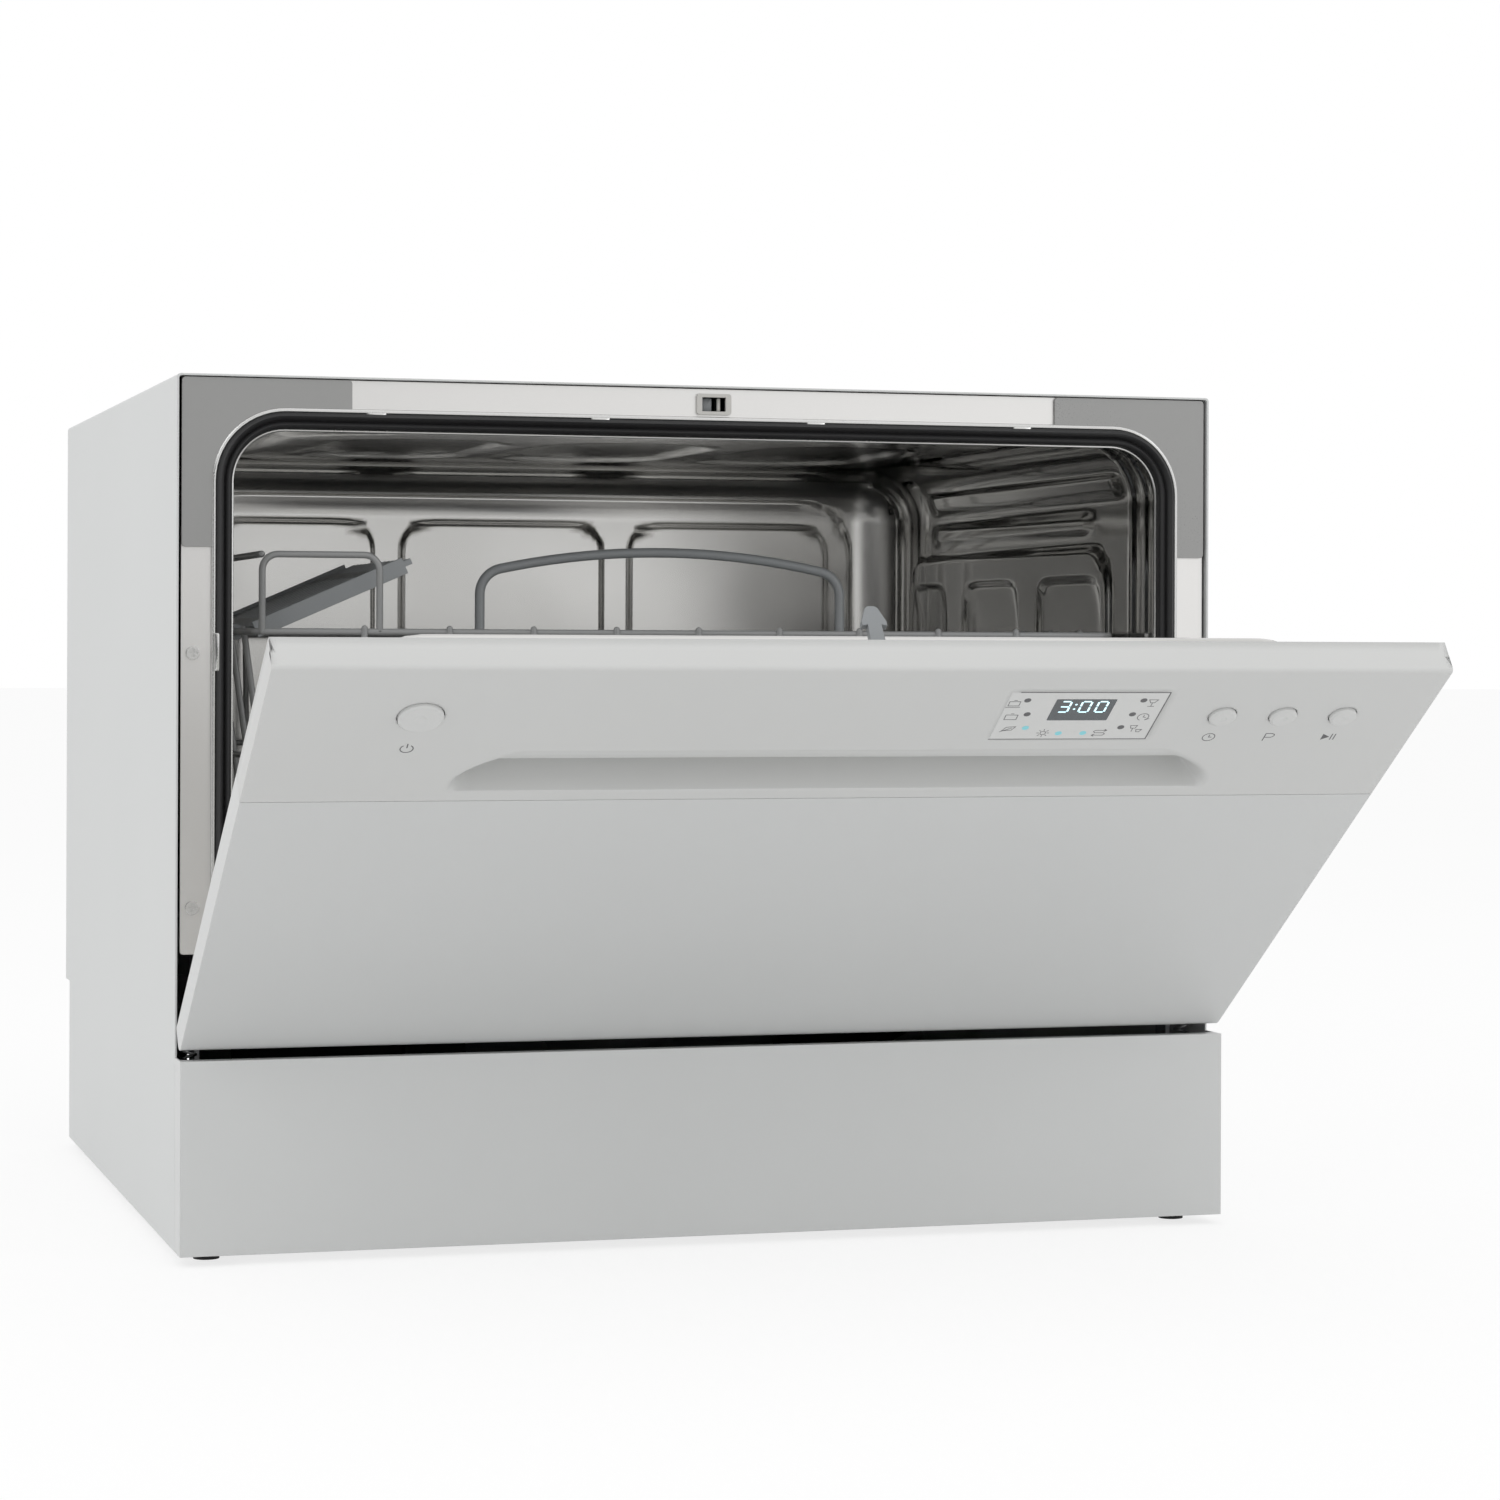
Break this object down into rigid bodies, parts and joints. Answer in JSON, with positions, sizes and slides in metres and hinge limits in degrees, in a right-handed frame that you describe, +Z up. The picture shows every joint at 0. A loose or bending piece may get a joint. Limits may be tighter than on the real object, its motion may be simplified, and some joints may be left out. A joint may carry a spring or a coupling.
{
  "type": "countertop dishwasher",
  "caption": "Compact tabletop dishwasher with a bottom-hinged front door, handle scoop, push buttons, display, steel tub, sliding wire rack and spray arm.",
  "frame": {"origin": "middle of the whole box at table height, with the door standing open as stored", "axes": "+X to the right seen from the front, +Y to the rear, +Z up; the door opens towards -Y"},
  "size_m": [0.55, 0.7642, 0.438],
  "materials": {
    "casing": "satin light grey paint",
    "front_paint": "satin silver grey paint",
    "panel_plastic": "fine matt silver grey",
    "button_plastic": "satin",
    "stainless": "polished stainless sheet",
    "frame_steel": "satin",
    "galvanised": "galvanised sheet",
    "trim_grey": "moulded grey",
    "seal_black": "matt",
    "foot_rubber": "matt",
    "dark_plastic": "moulded",
    "grey_plastic": "moulded",
    "pale_plastic": "moulded",
    "bezel_plastic": "moulded",
    "spring_steel": "drawn wire",
    "screw_steel": "plated",
    "rack_coat": "nylon coated wire",
    "felt": "bitumen felt",
    "foam": "foam",
    "circuit": "board",
    "display_glass": "printed window",
    "lamp": "lens",
    "lid_plastic": "moulded",
    "cap_blue": "moulded",
    "heater_metal": "tube"
  },
  "bodies": {
    "cabinet": {"outer_casing": "casing", "back_panel": "galvanised", "base_tray": "dark_plastic", "feet": "foot_rubber", "kick_plate": "front_paint", "tub": "stainless", "front_frame": "frame_steel", "corner_trim_left": "trim_grey", "corner_trim_right": "trim_grey", "door_gasket": "seal_black", "strike_bezel": "bezel_plastic", "latch_housing": "dark_plastic", "door_switch": "dark_plastic", "hinge_brackets": "galvanised", "hinge_pins": "screw_steel", "hinge_springs": "spring_steel", "front_crossmember": "dark_plastic", "sump": "grey_plastic", "coarse_filter": "stainless", "heater": "heater_metal", "circulation_pump": "dark_plastic", "drain_pump": "dark_plastic", "softener_tank": "pale_plastic", "inlet_valve": "pale_plastic", "drain_outlet": "dark_plastic", "cable_gland": "seal_black", "air_break": "pale_plastic", "internal_hoses": "seal_black", "spray_arm_post": "grey_plastic", "float_switch": "dark_plastic", "rack_rails": "stainless", "tub_felt": "felt", "frame_screws": "screw_steel"},
    "door": {"door_outer_panel": "front_paint", "control_panel": "panel_plastic", "door_liner": "stainless", "hinge_arms": "galvanised", "dispenser_body": "lid_plastic", "latch_hook": "grey_plastic", "display_window": "display_glass", "control_board": "circuit", "indicator_leds": "lamp", "door_felt": "felt", "lower_door_seal": "seal_black", "door_screws": "screw_steel"},
    "power_button": {"power_button": "button_plastic"},
    "delay_button": {"delay_button": "button_plastic"},
    "program_button": {"program_button": "button_plastic"},
    "start_button": {"start_button": "button_plastic"},
    "dispenser_lid": {"dispenser_lid": "lid_plastic"},
    "rinse_aid_cap": {"rinse_aid_cap": "cap_blue"},
    "rack": {"rack_basket": "rack_coat", "rack_glides": "pale_plastic"},
    "cup_shelf": {"cup_shelf": "grey_plastic"},
    "cutlery_basket": {"cutlery_basket": "grey_plastic"},
    "spray_arm": {"spray_arm": "grey_plastic"},
    "fine_filter": {"fine_filter": "grey_plastic"},
    "salt_cap": {"salt_cap": "pale_plastic"},
    "float": {"base_float": "foam"},
    "impeller": {"pump_impeller": "grey_plastic"}
  },
  "joints": [
    {"name": "door_hinge", "type": "hinge", "parent": "cabinet", "child": "door", "pos_m": [0, -0.11195, 0.1115], "axis": [1, 0, 0], "range_deg": [-55, 35], "deforming": ["hinge_springs"]},
    {"name": "power_press", "type": "slide", "parent": "door", "child": "power_button", "axis": [0, 0.5736, 0.8192], "range_m": [0, 0.0015], "stiffness_N_per_m": 500},
    {"name": "delay_press", "type": "slide", "parent": "door", "child": "delay_button", "axis": [0, 0.5736, 0.8192], "range_m": [0, 0.0015], "stiffness_N_per_m": 500},
    {"name": "program_press", "type": "slide", "parent": "door", "child": "program_button", "axis": [0, 0.5736, 0.8192], "range_m": [0, 0.0015], "stiffness_N_per_m": 500},
    {"name": "start_press", "type": "slide", "parent": "door", "child": "start_button", "axis": [0, 0.5736, 0.8192], "range_m": [0, 0.0015], "stiffness_N_per_m": 500},
    {"name": "lid_flip", "type": "hinge", "parent": "door", "child": "dispenser_lid", "pos_m": [0.088, -0.18649, 0.20466], "axis": [-1, 0, 0], "range_deg": [0, 100]},
    {"name": "rinse_cap_turn", "type": "hinge", "parent": "door", "child": "rinse_aid_cap", "pos_m": [0.156, -0.21351, 0.22535], "axis": [0, 0.5736, 0.8192], "range_deg": [0, 90]},
    {"name": "rack_slide", "type": "slide", "parent": "cabinet", "child": "rack", "axis": [0, -1, 0], "range_m": [0, 0.06]},
    {"name": "shelf_fold", "type": "hinge", "parent": "rack", "child": "cup_shelf", "pos_m": [-0.232, 0.03206, 0.311], "axis": [0, -1, 0], "range_deg": [0, 45]},
    {"name": "cutlery_lift", "type": "slide", "parent": "rack", "child": "cutlery_basket", "axis": [0, 0, 1], "range_m": [0, 0.05]},
    {"name": "spray_spin", "type": "hinge", "parent": "cabinet", "child": "spray_arm", "pos_m": [0, 0.12105, 0.163], "axis": [0, 0, 1], "continuous": true},
    {"name": "filter_turn", "type": "hinge", "parent": "cabinet", "child": "fine_filter", "pos_m": [0.03604, 0.09582, 0.14], "axis": [0, 0, 1], "range_deg": [0, 90]},
    {"name": "salt_cap_turn", "type": "hinge", "parent": "cabinet", "child": "salt_cap", "pos_m": [-0.17, 0.26205, 0.148], "axis": [0, 0, 1], "range_deg": [0, 360]},
    {"name": "float_rise", "type": "slide", "parent": "cabinet", "child": "float", "axis": [0, 0, 1], "range_m": [0, 0.006]},
    {"name": "impeller_spin", "type": "hinge", "parent": "cabinet", "child": "impeller", "pos_m": [-0.108, 0.12105, 0.07], "axis": [1, 0, 0], "continuous": true}
  ]
}
